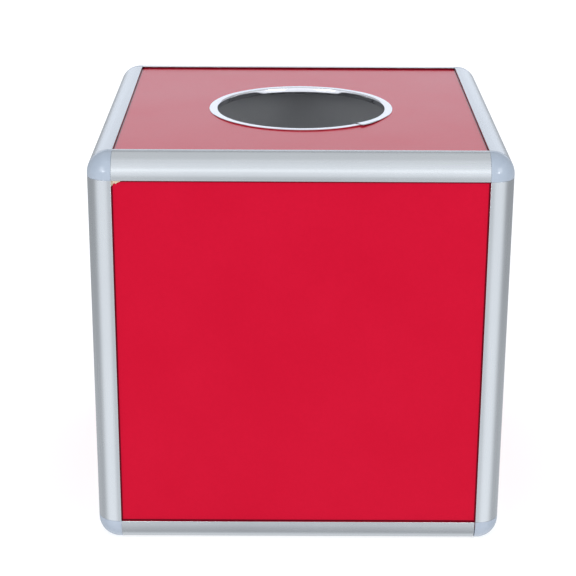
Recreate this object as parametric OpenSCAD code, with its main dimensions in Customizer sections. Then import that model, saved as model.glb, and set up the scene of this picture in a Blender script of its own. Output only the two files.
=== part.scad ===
// Drop box: a frame of rounded aluminium extrusions joined by moulded corner connectors,
// with six slotted-in boards, a trimmed round hole in the top and a lockable door at the back.
// X runs to the right, the front faces -Y, Z is up. The origin is on the ground, at the middle.

/* [Overall size] */
// Width over the frame
body_w = 300; // [245:1:400]
// Depth over the frame, front to back
body_d = 300; // [200:1:400]
// Height over the frame
body_h = 300; // [245:1:400]

/* [Frame extrusion] */
// Radius of the rounded outside corner
corner_r = 16; // [13:0.5:20]
// Width of the flat lip next to the rounded corner
lip_w = 2; // [1:0.5:4]
// Wall of the rounded skin
skin_t = 1.4; // [1:0.1:2]
// Thickness of the lip in front of a board
lip_t = 1.5; // [1.2:0.1:2]
// Depth of a board slot
slot_depth = 6; // [4:0.5:8]
// Thickness of the webs behind the slots
web_t = 1.2; // [0.8:0.1:1.8]
// Gap left between the front bottom rail and its right-hand connector
rail_gap = 0.6; // [0:0.1:1.5]

/* [Corner connectors] */
// Length of the plug that goes into each extrusion
plug_len = 22; // [10:1:40]
// Clearance round a plug
plug_clear = 0.15; // [0.05:0.05:0.4]

/* [Boards] */
// Board thickness
panel_t = 3; // [2.5:0.1:4]
// Clearance on each side of a board in its slot
panel_clear = 0.1; // [0.05:0.05:0.3]
// Clearance between a board's edge and the bottom of its slot
edge_clear = 0.3; // [0.1:0.1:1]

/* [Hand hole] */
// Inside radius of the trimmed hole
hole_r = 64; // [50:0.5:77]
// Hole centre to the right of the middle
hole_x = 1; // [-5:0.5:5]
// Hole centre behind the middle
hole_y = -4; // [-5:0.5:5]
// Wall of the trim strip
trim_t = 1.4; // [0.8:0.1:1.5]
// Width of the trim's upper flange
trim_flange = 6.4; // [4:0.1:8]
// Width of the trim's lower flange
trim_under = 4.6; // [3:0.1:6]
// Clearance between the trim and the edge of the hole
trim_clear = 0.2; // [0.1:0.1:0.6]

/* [Door] */
// Door width
door_w = 190; // [150:1:200]
// Door height
door_h = 160; // [120:1:180]
// Height of the door's lower edge
door_z = 45; // [35:1:50]
// Gap all round the door
door_gap = 1.5; // [1:0.1:2.5]
// Width of the stop strips behind the door's edges
stop_w = 18; // [14:1:22]
// How far a stop strip reaches into the doorway
stop_lap = 6; // [4:0.5:8]
// Thickness of the stop strips
stop_t = 3; // [2:0.5:4]

/* [Hinges] */
// Height of a hinge
hinge_h = 30; // [24:1:40]
// Distance from the door's upper or lower edge to a hinge's middle
hinge_inset = 30; // [22:1:40]
// Width of a leaf from the hinge axis
leaf_w = 14; // [12:0.5:18]
// Thickness of a leaf
leaf_t = 1; // [0.8:0.1:1.2]
// Outside radius of a knuckle
knuckle_r = 2.5; // [2.3:0.1:3]
// Radius of a hinge pin
pin_r = 1.25; // [1:0.05:1.4]
// Distance from the hinge axis to the screws
leaf_screw = 8.5; // [7:0.5:10]
// Distance between the two screws of a leaf
screw_pitch = 18; // [14:1:20]

/* [Screws] */
// Radius of a hinge screw's shank
screw_r = 1.45; // [1:0.05:1.5]
// Radius of a hinge screw's head
screw_head_r = 2.75; // [2:0.05:3.2]
// Height of a hinge screw's head
screw_head_h = 1.8; // [1:0.1:2.5]
// Nut size across its corners
nut_corners = 6.35; // [5:0.05:7]
// Nut thickness
nut_h = 2.4; // [1.5:0.1:3]

/* [Lock] */
// Distance from the door's free edge to the lock's axis
lock_edge = 22; // [18:0.5:24]
// Radius of the lock's threaded body
lock_body_r = 6; // [5.5:0.1:7]
// Length of the lock's body behind its head
lock_body_len = 12; // [11:0.5:16]
// Radius of the lock's head
lock_head_r = 8.5; // [8:0.1:10]
// Height of the lock's head
lock_head_h = 3; // [2:0.1:4]
// Lock nut size across its corners
lock_nut_corners = 16.4; // [15:0.1:18]
// Lock nut thickness
lock_nut_h = 3; // [2:0.1:4]
// Radius of the turning plug
plug_r = 4.25; // [4:0.05:4.5]
// Reach of the cam from the lock's axis
cam_reach = 32; // [28:0.5:34]
// Width of the cam
cam_w = 10; // [8:0.5:11]
// Thickness of the cam
cam_t = 2; // [1.5:0.1:2.5]
// Thickness of the key
key_t = 2; // [1.6:0.1:2.4]
// Width of the key's blade
key_blade_w = 6.2; // [5:0.1:6.6]
// Length of the key's blade inside the plug
key_blade_len = 9.8; // [8:0.1:10]
// Radius of the key's bow
key_bow_r = 11; // [9:0.5:13]

/* [Hidden] */
$fn = 64;

cut = 1;                        // how far a cutting shape runs past what it cuts
running = 0.05;                 // radial clearance of a turning fit
hole_clear = 0.1;               // radial clearance of a screw or lock body in its hole

leg = corner_r + lip_w;                 // visible width of the extrusion on each face
slot_end = leg - slot_depth;            // distance from the outside face to a slot's bottom
slot_w = panel_t + 2 * panel_clear;
inset = lip_t + panel_clear;            // how far a board's face lies behind the frame's face
flange_t = web_t;
pocket_start = lip_t + slot_w + flange_t;
chamber = slot_end - web_t;             // side of the hollow chamber in the extrusion
board_inset = slot_end + edge_clear;    // how far a board's edge lies inside the frame's face

panel_hole_r = hole_r + trim_t + trim_clear;

back_y = body_d / 2 - inset;            // outside face of the back board and the door
inner_y = back_y - panel_t;             // inside face of the back board and the door
door_mid_z = door_z + door_h / 2;
opening_w = door_w + 2 * door_gap;
opening_h = door_h + 2 * door_gap;

axis_x = door_w / 2 + door_gap / 2;     // hinge axis, over the middle of the gap
knuckle_lift = 0.2;                     // space between a knuckle and the board
axis_y = back_y + knuckle_lift + knuckle_r;
knuckle_gap = 0.15;                     // half the space between two knuckles
knuckle_part = hinge_h / 6;             // half the height of the middle knuckle
leaf_start = knuckle_r + 0.4;           // where a leaf's plate begins, past the other leaf's knuckle
pin_head_r = 1.9;
pin_head_h = 0.8;
hinge_heights = [door_z + door_h - hinge_inset, door_z + hinge_inset];
screw_tip = 1;                          // screw length past its nut

lock_x = -door_w / 2 + lock_edge;
lock_z = door_mid_z;
lock_front_y = back_y + lock_head_h;
lock_end_y = back_y - lock_body_len;
plug_recess = 0.2;                      // how far the plug lies behind the lock's face
plug_front_y = lock_front_y - plug_recess;
plug_end_y = lock_end_y - plug_recess;
keyway_clear = 0.1;                     // clearance on each side of the key's blade
keyway_end = 0.2;                       // space past the blade's tip
keyway_depth = key_blade_len + keyway_end;
cam_stop_clear = 0.5;                   // space between the cam's tip and the stop strip
cam_crank_start = 11;
cam_crank_end = 14;
cam_crank = (inner_y - stop_t - cam_stop_clear) - plug_end_y;
cam_screw_r = 1.95;
cam_screw_len = 4.4;                    // length of the cam screw inside the plug
cam_screw_head_r = 3.5;
cam_screw_head_h = 2.4;
cam_hub_r = 6;
washer_r = 4.5;
washer_t = 1;
key_neck = 4;                           // key length between the plug and the bow
key_hole_r = 3;
key_hole_out = key_bow_r / 2;           // how far the key's hole lies beyond the bow's middle

// Outline of a frame edge seen along its length, before anything is cut from it.
module rounded_edge() {
    intersection() {
        translate([corner_r, corner_r]) circle(r = corner_r);
        square(corner_r);
    }
    translate([corner_r, 0]) square([leg - corner_r, leg]);
    translate([0, corner_r]) square([corner_r, leg - corner_r]);
}

// A square chamber whose outside corner follows the skin, smaller by the clearance.
module chamber_outline(clearance) {
    intersection() {
        translate([corner_r, corner_r]) circle(r = corner_r - skin_t - clearance);
        square(chamber - clearance);
    }
}

// The two board slots and the open inside corner, cut from the extrusion.
module edge_cuts() {
    depth = slot_depth + cut;
    translate([slot_end, lip_t]) square([depth, slot_w]);
    translate([lip_t, slot_end]) square([slot_w, depth]);
    translate([slot_end, pocket_start]) square([depth, leg]);
    translate([pocket_start, slot_end]) square([leg, depth]);
}

// A length of extrusion standing along Z, its outside corner at the origin.
module extrusion(length) {
    translate([0, 0, -length / 2]) linear_extrude(length) difference() {
        rounded_edge();
        edge_cuts();
        chamber_outline(0);
    }
}

// Quarter turn that brings the outside corner to the given side, first and second sign.
function quarter(a, b) = a < 0 ? (b < 0 ? 0 : 270) : (b < 0 ? 90 : 180);

module post(side_x, side_y) {
    color("silver")
        translate([side_x * body_w / 2, side_y * body_d / 2, body_h / 2])
        rotate([0, 0, quarter(side_x, side_y)])
        extrusion(body_h - 2 * leg);
}

// A rail along X. The end gap leaves its right-hand end short.
module rail_x(side_y, side_z, end_gap = 0) {
    color("silver")
        translate([-end_gap / 2, side_y * body_d / 2, side_z > 0 ? body_h : 0])
        rotate([quarter(side_y, side_z), 0, 0])
        rotate([90, 0, 90])
        extrusion(body_w - 2 * leg - end_gap);
}

// A rail along Y.
module rail_y(side_x, side_z) {
    color("silver")
        translate([side_x * body_w / 2, 0, side_z > 0 ? body_h : 0])
        rotate([0, quarter(side_z, side_x), 0])
        rotate([-90, -90, 0])
        extrusion(body_d - 2 * leg);
}

// Repeats its children for the three directions that meet at a corner.
module each_direction() {
    children();
    rotate([90, 0, 90]) children();
    rotate([-90, -90, 0]) children();
}

// An eighth of a ball that rounds the outside corner at the origin.
module ball_corner() {
    translate([corner_r, corner_r, corner_r])
        rotate([0, 0, 180])
        rotate_extrude(angle = 90)
        intersection() {
            circle(r = corner_r);
            translate([0, -corner_r]) square(corner_r);
        }
}

// A connector with its outside corner at the origin and its plugs along +X, +Y and +Z.
module connector() {
    side = leg - corner_r;
    reach = slot_depth + cut;
    difference() {
        union() {
            ball_corner();
            each_direction() intersection() {
                translate([corner_r, corner_r, corner_r]) cylinder(r = corner_r, h = side);
                translate([0, 0, corner_r]) cube([corner_r, corner_r, side]);
            }
            each_direction() translate([corner_r, corner_r, 0]) cube([side, side, corner_r]);
            translate([corner_r, corner_r, corner_r]) cube(side);
        }
        each_direction() translate([slot_end, slot_end, lip_t]) cube([reach, reach, slot_w]);
        each_direction() translate([slot_end, slot_end, pocket_start]) cube([reach, reach, leg]);
    }
    each_direction() translate([0, 0, leg]) linear_extrude(plug_len) chamber_outline(plug_clear);
}

module corner(side_x, side_y, side_z) {
    color("slategray")
        translate([side_x * body_w / 2, side_y * body_d / 2, side_z > 0 ? body_h : 0])
        mirror([side_x > 0 ? 1 : 0, 0, 0])
        mirror([0, side_y > 0 ? 1 : 0, 0])
        mirror([0, 0, side_z > 0 ? 1 : 0])
        connector();
}

// A flat board lying in the XY plane, its lower face at z = 0.
module board(width, height) {
    translate([-width / 2, -height / 2, 0]) cube([width, height, panel_t]);
}

// A board standing with its outside face towards the given side, front (-1) or back (+1).
module standing_board(side_y) {
    translate([0, side_y * (back_y - panel_t / 2) + panel_t / 2, body_h / 2])
        rotate([90, 0, 0])
        board(body_w - 2 * board_inset, body_h - 2 * board_inset);
}

module side_board(side_x) {
    translate([side_x * (body_w / 2 - inset - panel_t / 2) - panel_t / 2, 0, body_h / 2])
        rotate([0, 90, 0])
        board(body_h - 2 * board_inset, body_d - 2 * board_inset);
}

module top_panel() {
    color("crimson") difference() {
        translate([0, 0, body_h - inset - panel_t])
            board(body_w - 2 * board_inset, body_d - 2 * board_inset);
        translate([hole_x, hole_y, body_h - inset - panel_t - cut])
            cylinder(r = panel_hole_r, h = panel_t + 2 * cut);
    }
}

module bottom_panel() {
    color("crimson") translate([0, 0, inset])
        board(body_w - 2 * board_inset, body_d - 2 * board_inset);
}

module front_panel() { color("crimson") standing_board(-1); }

module left_panel() { color("crimson") side_board(-1); }

module right_panel() { color("crimson") side_board(1); }

module back_panel() {
    color("crimson") difference() {
        standing_board(1);
        translate([-opening_w / 2, inner_y - cut, door_mid_z - opening_h / 2])
            cube([opening_w, panel_t + 2 * cut, opening_h]);
        hinge_screw_holes(1);
    }
}

// U-shaped strip that wraps the edge of the hole.
module hole_trim() {
    upper = body_h - inset + trim_t;
    lower = body_h - inset - panel_t - trim_t;
    color("gainsboro") translate([hole_x, hole_y, 0]) rotate_extrude($fn = 128) {
        translate([hole_r, lower]) square([trim_t, upper - lower]);
        translate([hole_r + trim_t, upper - trim_t]) square([trim_flange - trim_t, trim_t]);
        translate([hole_r + trim_t, lower]) square([trim_under - trim_t, trim_t]);
    }
}

// A cylinder along Y between two depths.
module y_rod(r, from_y, to_y) {
    translate([0, to_y, 0]) rotate([90, 0, 0]) cylinder(r = r, h = to_y - from_y);
}

// A hexagonal nut along Y with a bore.
module y_nut(corners, bore_r, from_y, to_y) {
    difference() {
        translate([0, to_y, 0]) rotate([90, 0, 0]) cylinder(d = corners, h = to_y - from_y, $fn = 6);
        y_rod(bore_r, from_y - cut, to_y + cut);
    }
}

// Places its children at the hinge screws: side 1 is the fixed leaf, side -1 the door's leaf.
module at_hinge_screws(side) {
    for (height = hinge_heights)
        for (along = [-1, 1])
            translate([axis_x + side * leaf_screw, 0, height + along * screw_pitch / 2])
                children();
}

module hinge_screw_holes(side) {
    at_hinge_screws(side) y_rod(screw_r + hole_clear, inner_y - cut, back_y + cut);
}

module door_panel() {
    color("crimson") difference() {
        translate([-door_w / 2, inner_y, door_z]) cube([door_w, panel_t, door_h]);
        hinge_screw_holes(-1);
        translate([lock_x, 0, lock_z])
            y_rod(lock_body_r + hole_clear, inner_y - cut, back_y + cut);
    }
}

// Horizontal stop strip behind the upper (1) or lower (-1) edge of the doorway.
module level_stop(side) {
    left = -opening_w / 2 + stop_lap - stop_w;
    right = door_w / 2 - door_gap;
    edge_z = door_mid_z + side * (opening_h / 2 - stop_lap + stop_w / 2);
    color("dimgray")
        translate([left, inner_y - stop_t, edge_z - stop_w / 2])
        cube([right - left, stop_t, stop_w]);
}

module latch_stop() {
    height = opening_h - 2 * stop_lap;
    color("dimgray")
        translate([-opening_w / 2 + stop_lap - stop_w, inner_y - stop_t, door_mid_z - height / 2])
        cube([stop_w, stop_t, height]);
}

// Heights of a hinge's knuckles: the fixed leaf (1) has the outer two, the door's (-1) the middle.
function knuckles(side) = side > 0
    ? [[-hinge_h / 2, -knuckle_part - knuckle_gap], [knuckle_part + knuckle_gap, hinge_h / 2]]
    : [[-knuckle_part + knuckle_gap, knuckle_part - knuckle_gap]];

module hinge_leaf(height, side) {
    color("lightsteelblue") translate([axis_x, 0, height]) difference() {
        union() {
            translate([side > 0 ? leaf_start : -leaf_w, back_y, -hinge_h / 2])
                cube([leaf_w - leaf_start, leaf_t, hinge_h]);
            for (k = knuckles(side)) {
                translate([side > 0 ? 0 : -leaf_start, back_y, k[0]])
                    cube([leaf_start, leaf_t, k[1] - k[0]]);
                translate([0, axis_y, k[0]]) cylinder(r = knuckle_r, h = k[1] - k[0]);
            }
        }
        translate([0, axis_y, -hinge_h / 2 - cut]) cylinder(r = pin_r + running, h = hinge_h + 2 * cut);
        for (along = [-1, 1])
            translate([side * leaf_screw, 0, along * screw_pitch / 2])
                y_rod(screw_r + hole_clear, back_y - cut, back_y + leaf_t + cut);
    }
}

module hinge_pin(height) {
    color("gray") translate([axis_x, axis_y, height]) {
        translate([0, 0, -hinge_h / 2]) cylinder(r = pin_r, h = hinge_h);
        for (end = [-hinge_h / 2 - pin_head_h, hinge_h / 2])
            translate([0, 0, end]) cylinder(r = pin_head_r, h = pin_head_h);
    }
}

module hinge_screws(side) {
    head_y = back_y + leaf_t;
    color("silver") at_hinge_screws(side) {
        y_rod(screw_r, inner_y - nut_h - screw_tip, head_y);
        y_rod(screw_head_r, head_y, head_y + screw_head_h);
    }
}

module hinge_nuts(side) {
    color("silver") at_hinge_screws(side)
        y_nut(nut_corners, screw_r + running, inner_y - nut_h, inner_y);
}

// Places its children on the lock's axis.
module at_lock() { translate([lock_x, 0, lock_z]) children(); }

module lock_body() {
    color("silver") at_lock() difference() {
        union() {
            y_rod(lock_body_r, lock_end_y, back_y);
            y_rod(lock_head_r, back_y, lock_front_y);
        }
        y_rod(plug_r + running, lock_end_y - cut, lock_front_y + cut);
    }
}

module lock_nut() {
    color("silver") at_lock()
        y_nut(lock_nut_corners, lock_body_r + running, inner_y - lock_nut_h, inner_y);
}

module lock_plug() {
    slot_t = key_t + 2 * keyway_clear;
    slot_h = key_blade_w + 2 * keyway_clear;
    color("goldenrod") at_lock() difference() {
        y_rod(plug_r, plug_end_y, plug_front_y);
        translate([-slot_t / 2, plug_front_y - keyway_depth, -slot_h / 2])
            cube([slot_t, keyway_depth + cut, slot_h]);
        y_rod(cam_screw_r + running, plug_end_y - cut, plug_end_y + cam_screw_len + running);
    }
}

// Cranked cam, hanging down while the lock is open. Its outline is its side view.
module lock_cam() {
    color("silver") at_lock() difference() {
        translate([-cam_w / 2, plug_end_y - cam_t, 0])
            rotate([90, 0, 90])
            linear_extrude(cam_w)
            polygon([
                [0, cam_hub_r], [0, -cam_crank_start], [cam_crank, -cam_crank_end],
                [cam_crank, -cam_reach], [cam_crank + cam_t, -cam_reach],
                [cam_crank + cam_t, -cam_crank_end + cam_t / 4],
                [cam_t, -cam_crank_start + cam_t / 4], [cam_t, cam_hub_r]
            ]);
        y_rod(cam_screw_r + hole_clear, plug_end_y - cam_t - cut, plug_end_y + cut);
    }
}

module cam_washer() {
    color("silver") at_lock() difference() {
        y_rod(washer_r, plug_end_y - cam_t - washer_t, plug_end_y - cam_t);
        y_rod(cam_screw_r + hole_clear, plug_end_y - cam_t - washer_t - cut, plug_end_y);
    }
}

module cam_screw() {
    head_y = plug_end_y - cam_t - washer_t;
    color("silver") at_lock() {
        y_rod(cam_screw_r, head_y, plug_end_y + cam_screw_len);
        y_rod(cam_screw_head_r, head_y - cam_screw_head_h, head_y);
    }
}

module key() {
    bow_y = plug_front_y + key_neck + key_bow_r;
    color("silver") at_lock() translate([-key_t / 2, 0, 0]) difference() {
        union() {
            translate([0, plug_front_y - key_blade_len, -key_blade_w / 2])
                cube([key_t, key_blade_len + key_neck + key_bow_r / 2, key_blade_w]);
            translate([0, bow_y, 0]) rotate([0, 90, 0]) cylinder(r = key_bow_r, h = key_t);
        }
        translate([-cut, bow_y + key_hole_out, 0])
            rotate([0, 90, 0])
            cylinder(r = key_hole_r, h = key_t + 2 * cut);
    }
}

rail_x(-1, 1);  // front_top_rail
rail_x(1, 1);  // back_top_rail
rail_y(-1, 1);  // left_top_rail
rail_y(1, 1);  // right_top_rail
rail_x(-1, -1, rail_gap);  // front_bottom_rail
rail_x(1, -1);  // back_bottom_rail
rail_y(-1, -1);  // left_bottom_rail
rail_y(1, -1);  // right_bottom_rail
post(-1, -1);  // front_left_post
post(1, -1);  // front_right_post
post(-1, 1);  // back_left_post
post(1, 1);  // back_right_post
corner(-1, -1, 1);  // front_left_top_corner
corner(1, -1, 1);  // front_right_top_corner
corner(-1, 1, 1);  // back_left_top_corner
corner(1, 1, 1);  // back_right_top_corner
corner(-1, -1, -1);  // front_left_bottom_corner
corner(1, -1, -1);  // front_right_bottom_corner
corner(-1, 1, -1);  // back_left_bottom_corner
corner(1, 1, -1);  // back_right_bottom_corner
top_panel();
bottom_panel();
front_panel();
left_panel();
right_panel();
back_panel();
hole_trim();
door_panel();
level_stop(1);  // upper_door_stop
level_stop(-1);  // lower_door_stop
latch_stop();  // latch_door_stop
hinge_leaf(hinge_heights[0], 1);  // upper_hinge_fixed_leaf
hinge_leaf(hinge_heights[0], -1);  // upper_hinge_door_leaf
hinge_pin(hinge_heights[0]);  // upper_hinge_pin
hinge_leaf(hinge_heights[1], 1);  // lower_hinge_fixed_leaf
hinge_leaf(hinge_heights[1], -1);  // lower_hinge_door_leaf
hinge_pin(hinge_heights[1]);  // lower_hinge_pin
hinge_screws(1);  // fixed_hinge_screws
hinge_screws(-1);  // door_hinge_screws
hinge_nuts(1);  // fixed_hinge_nuts
hinge_nuts(-1);  // door_hinge_nuts
lock_body();
lock_nut();
lock_plug();
lock_cam();
cam_washer();
cam_screw();
key();
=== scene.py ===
"""Finish of a drop box: aluminium extrusions, grey connectors, red laminated boards and a rear door."""
import math

import bmesh
import bpy
from mathutils import Matrix, Vector


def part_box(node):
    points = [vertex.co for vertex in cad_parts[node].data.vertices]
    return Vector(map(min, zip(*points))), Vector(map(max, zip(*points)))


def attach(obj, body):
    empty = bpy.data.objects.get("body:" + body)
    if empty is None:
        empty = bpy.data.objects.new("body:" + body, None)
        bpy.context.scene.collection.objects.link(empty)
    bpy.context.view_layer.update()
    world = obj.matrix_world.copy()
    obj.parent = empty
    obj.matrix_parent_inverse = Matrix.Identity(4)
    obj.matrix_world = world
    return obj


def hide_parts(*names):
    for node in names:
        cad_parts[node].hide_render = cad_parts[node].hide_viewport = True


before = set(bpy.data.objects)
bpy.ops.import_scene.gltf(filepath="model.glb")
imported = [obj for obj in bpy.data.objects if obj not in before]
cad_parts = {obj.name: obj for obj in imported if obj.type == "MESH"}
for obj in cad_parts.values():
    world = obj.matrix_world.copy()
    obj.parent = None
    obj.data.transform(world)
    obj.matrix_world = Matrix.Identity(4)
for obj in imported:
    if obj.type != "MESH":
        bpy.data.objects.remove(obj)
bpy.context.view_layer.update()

MM = 0.001
X, Y, Z = range(3)

# ---------------------------------------------------------------- sizes taken from the frame
POST_LO, POST_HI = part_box("front_left_post")
FAR_POST_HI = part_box("back_right_post")[1]
FRONT_LO, FRONT_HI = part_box("front_panel")
BODY_LO = Vector((POST_LO.x, POST_LO.y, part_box("front_bottom_rail")[0].z))
BODY_HI = Vector((FAR_POST_HI.x, FAR_POST_HI.y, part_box("back_top_rail")[1].z))
LEG = POST_HI.x - BODY_LO.x
BOARD_T = FRONT_HI.y - FRONT_LO.y

# The extrusion's section, measured from the two outside faces of its edge.
LIP_W = 2.0 * MM                # flat part of a lip, past the rounded corner
CORNER_R = LEG - LIP_W
SKIN_T = 1.4 * MM
LIP_T = 1.5 * MM
LIP_EDGE_T = 0.6 * MM           # a lip's thickness at its edge, which is relieved underneath
LEAD_IN = 2.4 * MM              # how far that relief reaches in from the edge
SLOT_PLAY = 0.2 * MM
SLOT_DEPTH = 6.0 * MM
SLOT_W = BOARD_T + SLOT_PLAY
SLOT_END = LEG - SLOT_DEPTH
WEB_T = 1.2 * MM
FLANGE_TOP = LIP_T + SLOT_W + WEB_T
CHAMBER = SLOT_END - WEB_T
ARC_STEPS = 20


# ---------------------------------------------------------------- materials
class Nodes:
    """Adds nodes to a tree and links or sets their inputs in one step."""

    def node(self, kind, inputs=None, **settings):
        made = self.tree.nodes.new(kind)
        for key, value in settings.items():
            setattr(made, key, value)
        for socket, value in (inputs or {}).items():
            if isinstance(value, bpy.types.NodeSocket):
                self.tree.links.new(value, made.inputs[socket])
            else:
                made.inputs[socket].default_value = value
        return made


class Finish(Nodes):
    """A material on one principled shader, with short ways to add nodes to it."""

    def __init__(self, name, colour, **shader):
        self.material = bpy.data.materials.new(name)
        self.material.use_nodes = True
        self.tree = self.material.node_tree
        self.shader = self.tree.nodes["Principled BSDF"]
        self.shader.inputs["Base Color"].default_value = (*colour, 1.0)
        self.material.diffuse_color = (*colour, 1.0)
        for socket, value in shader.items():
            self.shader.inputs[socket.replace("_", " ")].default_value = value
        self.place = self.node("ShaderNodeTexCoord").outputs["Object"]

    def stretched(self, scale):
        return self.node("ShaderNodeMapping", {"Vector": self.place, "Scale": scale}).outputs["Vector"]

    def noise(self, scale, detail=3.0, rough=0.5, vector=None):
        sockets = {"Vector": vector or self.place, "Scale": scale, "Detail": detail, "Roughness": rough}
        return self.node("ShaderNodeTexNoise", sockets).outputs["Fac"]

    def to_range(self, value, low, high, start=0.3, end=0.7):
        sockets = {"Value": value, "From Min": start, "From Max": end, "To Min": low, "To Max": high}
        return self.node("ShaderNodeMapRange", sockets).outputs["Result"]

    def mix(self, factor, first, second):
        made = self.node("ShaderNodeMix", data_type="RGBA")
        self.tree.links.new(factor, made.inputs["Factor"])
        for socket, value in ((made.inputs[6], first), (made.inputs[7], second)):
            if isinstance(value, bpy.types.NodeSocket):
                self.tree.links.new(value, socket)
            else:
                socket.default_value = (*value, 1.0)
        return made.outputs[2]

    def math(self, operation, first, second):
        return self.node("ShaderNodeMath", {0: first, 1: second}, operation=operation).outputs[0]

    def bump(self, height, strength, distance, under=None):
        sockets = {"Height": height, "Strength": strength, "Distance": distance}
        if under is not None:
            sockets["Normal"] = under
        return self.node("ShaderNodeBump", sockets).outputs["Normal"]

    def set(self, socket, value):
        self.tree.links.new(value, self.shader.inputs[socket])


def anodised_aluminium(along):
    """Satin anodised extrusion with faint die lines along its length."""
    name = "anodised_aluminium_" + "xyz"[along]
    f = Finish(name, (0.61, 0.632, 0.653), Metallic=1.0, Roughness=0.26)
    fine, drawn_out = 900.0, 4.0
    lines = [fine] * 3
    lines[along] = drawn_out
    die_lines = f.noise(1.0, 2.0, 0.6, f.stretched(lines))
    cloud = f.noise(14.0, 3.0, 0.55)
    grain = f.noise(5200.0, 1.0)
    f.set("Base Color", f.mix(f.to_range(cloud, 0.0, 1.0), (0.603, 0.620, 0.633), (0.623, 0.640, 0.653)))
    f.set("Roughness", f.math("ADD", f.to_range(cloud, 0.25, 0.28), f.to_range(die_lines, -0.012, 0.012)))
    f.set("Normal", f.bump(grain, 0.06, 0.02 * MM, f.bump(die_lines, 0.04, 0.02 * MM)))
    return f.material


def connector_plastic():
    """Blue-grey moulded plastic, slightly mottled, with a soft gloss."""
    f = Finish("connector_plastic", (0.36, 0.41, 0.48), Roughness=0.17, IOR=1.58)
    flow = f.noise(60.0, 4.0, 0.6)
    grain = f.noise(2600.0, 2.0)
    f.set("Base Color", f.mix(f.to_range(flow, 0.0, 1.0), (0.335, 0.385, 0.455), (0.385, 0.435, 0.505)))
    f.set("Roughness", f.to_range(grain, 0.14, 0.20))
    f.set("Normal", f.bump(grain, 0.06, 0.02 * MM))
    return f.material


LIP_SHADOW_W = 1.0 * MM               # width of the painted shadow line beside a lip's edge
LIP_SHADOW_COVER = 0.85               # how much of the laminate's colour the painted shadow hides there


def lip_shadow_share(f):
    """The share of painted shadow on a board: high in a line beside the edge of each lip, where the lip
    shades it, and none elsewhere.
    """
    def vector(operation, value, by=None):
        part = f.node("ShaderNodeVectorMath", {0: value}, operation=operation)
        if by is not None:
            part.inputs[1].default_value = by
        return part.outputs["Vector"]

    half = (BODY_HI.x - BODY_LO.x) / 2
    line = half - LEG - LIP_SHADOW_W / 2
    centred = vector("SUBTRACT", f.place, (0.0, 0.0, half))
    off = vector("ABSOLUTE", vector("SUBTRACT", vector("ABSOLUTE", centred), (line, line, line)))
    off_x, off_y, off_z = f.node("ShaderNodeSeparateXYZ", {0: off}).outputs
    nearest = f.math("MINIMUM", f.math("MINIMUM", off_x, off_y), off_z)
    return f.to_range(nearest, LIP_SHADOW_COVER, 0.0, start=LIP_SHADOW_W * 0.4, end=LIP_SHADOW_W * 0.9)


def red_laminate():
    """Satin red laminate: a fine pebbled skin over slightly uneven board, with shadow painted in a dark line
    beside each lip's edge.
    """
    gloss_tint = (1.0, 0.05, 0.09, 1.0)
    f = Finish("red_laminate", (0.50, 0.005, 0.026), Roughness=0.21, IOR=1.65, Specular_Tint=gloss_tint)
    cloud = f.noise(16.0, 4.0, 0.6)
    fibre = f.noise(420.0, 3.0, 0.65)
    pebble = f.node("ShaderNodeTexVoronoi", {"Vector": f.place, "Scale": 1500.0}).outputs["Distance"]
    deep, bright = (0.495, 0.0044, 0.0240), (0.517, 0.0053, 0.0270)
    # The second colour on the next line is painted shadow, laid in a line beside each lip's edge.
    fibre_red, lip_shadow_colour = (0.450, 0.0040, 0.0222), (0.035, 0.002, 0.006)
    toned = f.mix(f.to_range(cloud, 0.0, 1.0), deep, bright)
    mottled = f.mix(f.to_range(fibre, 0.0, 0.35), toned, fibre_red)
    f.set("Base Color", f.mix(lip_shadow_share(f), mottled, lip_shadow_colour))
    f.set("Roughness", f.to_range(cloud, 0.19, 0.24))
    f.set("Normal", f.bump(pebble, 0.10, 0.03 * MM, f.bump(fibre, 0.10, 0.05 * MM)))
    return f.material


def board_core():
    """Tan fibreboard, seen where the laminate is chipped and on cut edges."""
    f = Finish("board_core", (0.80, 0.62, 0.44), Roughness=0.9)
    fibre = f.noise(1800.0, 4.0, 0.7)
    f.set("Base Color", f.mix(f.to_range(fibre, 0.0, 1.0), (0.58, 0.42, 0.26), (0.90, 0.76, 0.60)))
    f.set("Normal", f.bump(fibre, 0.8, 0.15 * MM))
    return f.material


def grey_lining():
    """Plain grey backing sheet on the inside of every board."""
    f = Finish("grey_lining", (0.82, 0.82, 0.83), Roughness=0.5, IOR=1.45)
    cloud = f.noise(22.0, 4.0, 0.6)
    fibre = f.noise(700.0, 3.0, 0.6)
    f.set("Base Color", f.mix(f.to_range(cloud, 0.0, 1.0), (0.80, 0.80, 0.815), (0.84, 0.84, 0.85)))
    f.set("Roughness", f.to_range(fibre, 0.42, 0.55))
    f.set("Normal", f.bump(fibre, 0.12, 0.05 * MM))
    return f.material


def bright_strip():
    """Metallised edging strip, slightly rippled along its length."""
    f = Finish("bright_strip", (0.78, 0.78, 0.81), Metallic=1.0, Roughness=0.10)
    ripple = f.noise(90.0, 2.0, 0.5)
    scuff = f.noise(1200.0, 3.0, 0.7)
    f.set("Roughness", f.to_range(scuff, 0.07, 0.17))
    f.set("Normal", f.bump(ripple, 0.25, 0.4 * MM))
    return f.material


def plated_metal(name, low, high, rough):
    """Plated steel or nickel with a faint grain and handling marks."""
    f = Finish(name, high, Metallic=1.0, Roughness=sum(rough) / 2)
    cloud = f.noise(180.0, 4.0, 0.6)
    grain = f.noise(4200.0, 2.0)
    f.set("Base Color", f.mix(f.to_range(cloud, 0.0, 1.0), low, high))
    f.set("Roughness", f.to_range(cloud, *rough))
    f.set("Normal", f.bump(grain, 0.12, 0.02 * MM))
    return f.material


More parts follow.
